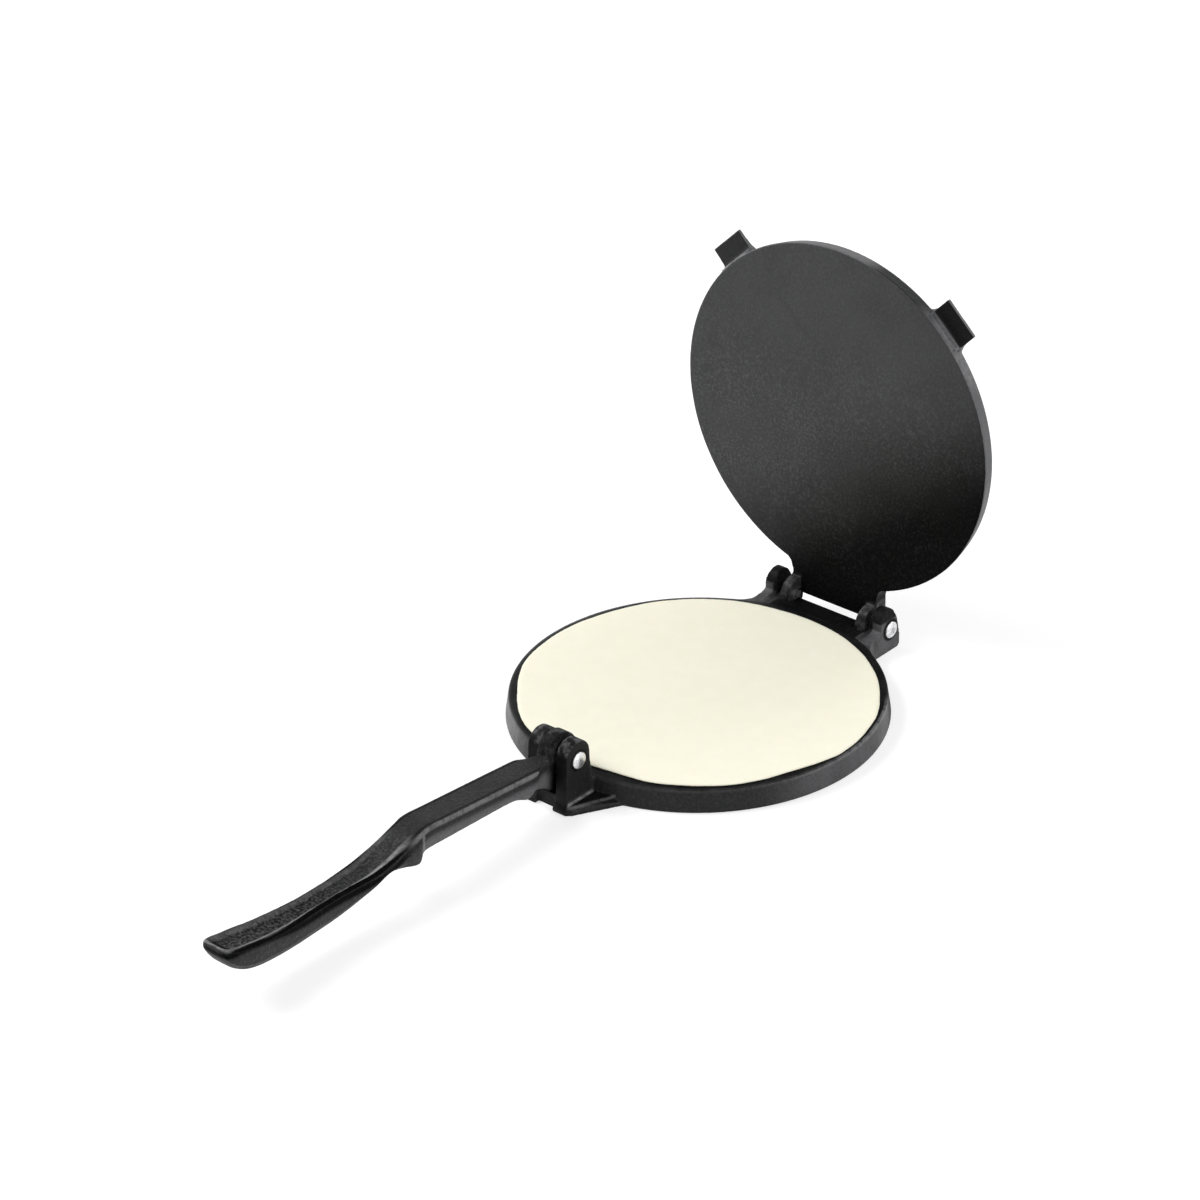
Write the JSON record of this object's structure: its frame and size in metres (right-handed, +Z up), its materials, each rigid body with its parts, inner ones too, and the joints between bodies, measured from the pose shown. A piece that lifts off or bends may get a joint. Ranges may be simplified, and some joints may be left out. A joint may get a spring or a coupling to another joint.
{
  "type": "tortilla press",
  "caption": "Hand press for flat dough rounds: round base plate, hinged upper plate with lifting tabs, and a swing-over lever with a dished grip, in black cast iron.",
  "frame": {"origin": "centre of the base plate, on the table it stands on", "axes": "+Z up, +Y from the lever to the plate hinge, +X to the right seen from the lever; the press is symmetric about X = 0 but for the lever's head"},
  "size_m": [0.2034, 0.4799, 0.2268],
  "materials": {
    "iron_base": "seasoned satin black",
    "iron_upper": "seasoned satin black",
    "iron_lever": "seasoned satin black",
    "pin_steel": "bright zinc",
    "dough": "soft matte"
  },
  "bodies": {
    "base": {"base_plate": "iron_base", "hinge_pin_left": "pin_steel", "hinge_pin_right": "pin_steel", "lever_pin": "pin_steel", "dough_round": "dough"},
    "upper_plate": {"upper_plate": "iron_upper"},
    "lever": {"lever_handle": "iron_lever"}
  },
  "joints": [
    {"name": "plate_hinge", "type": "hinge", "parent": "base", "child": "upper_plate", "pos_m": [0, 0.1141, 0.0131], "axis": [1, 0, 0], "range_deg": [0, 89]},
    {"name": "lever_hinge", "type": "hinge", "parent": "base", "child": "lever", "pos_m": [0, -0.1102, 0.0272], "axis": [-1, 0, 0], "range_deg": [0, 150]}
  ]
}
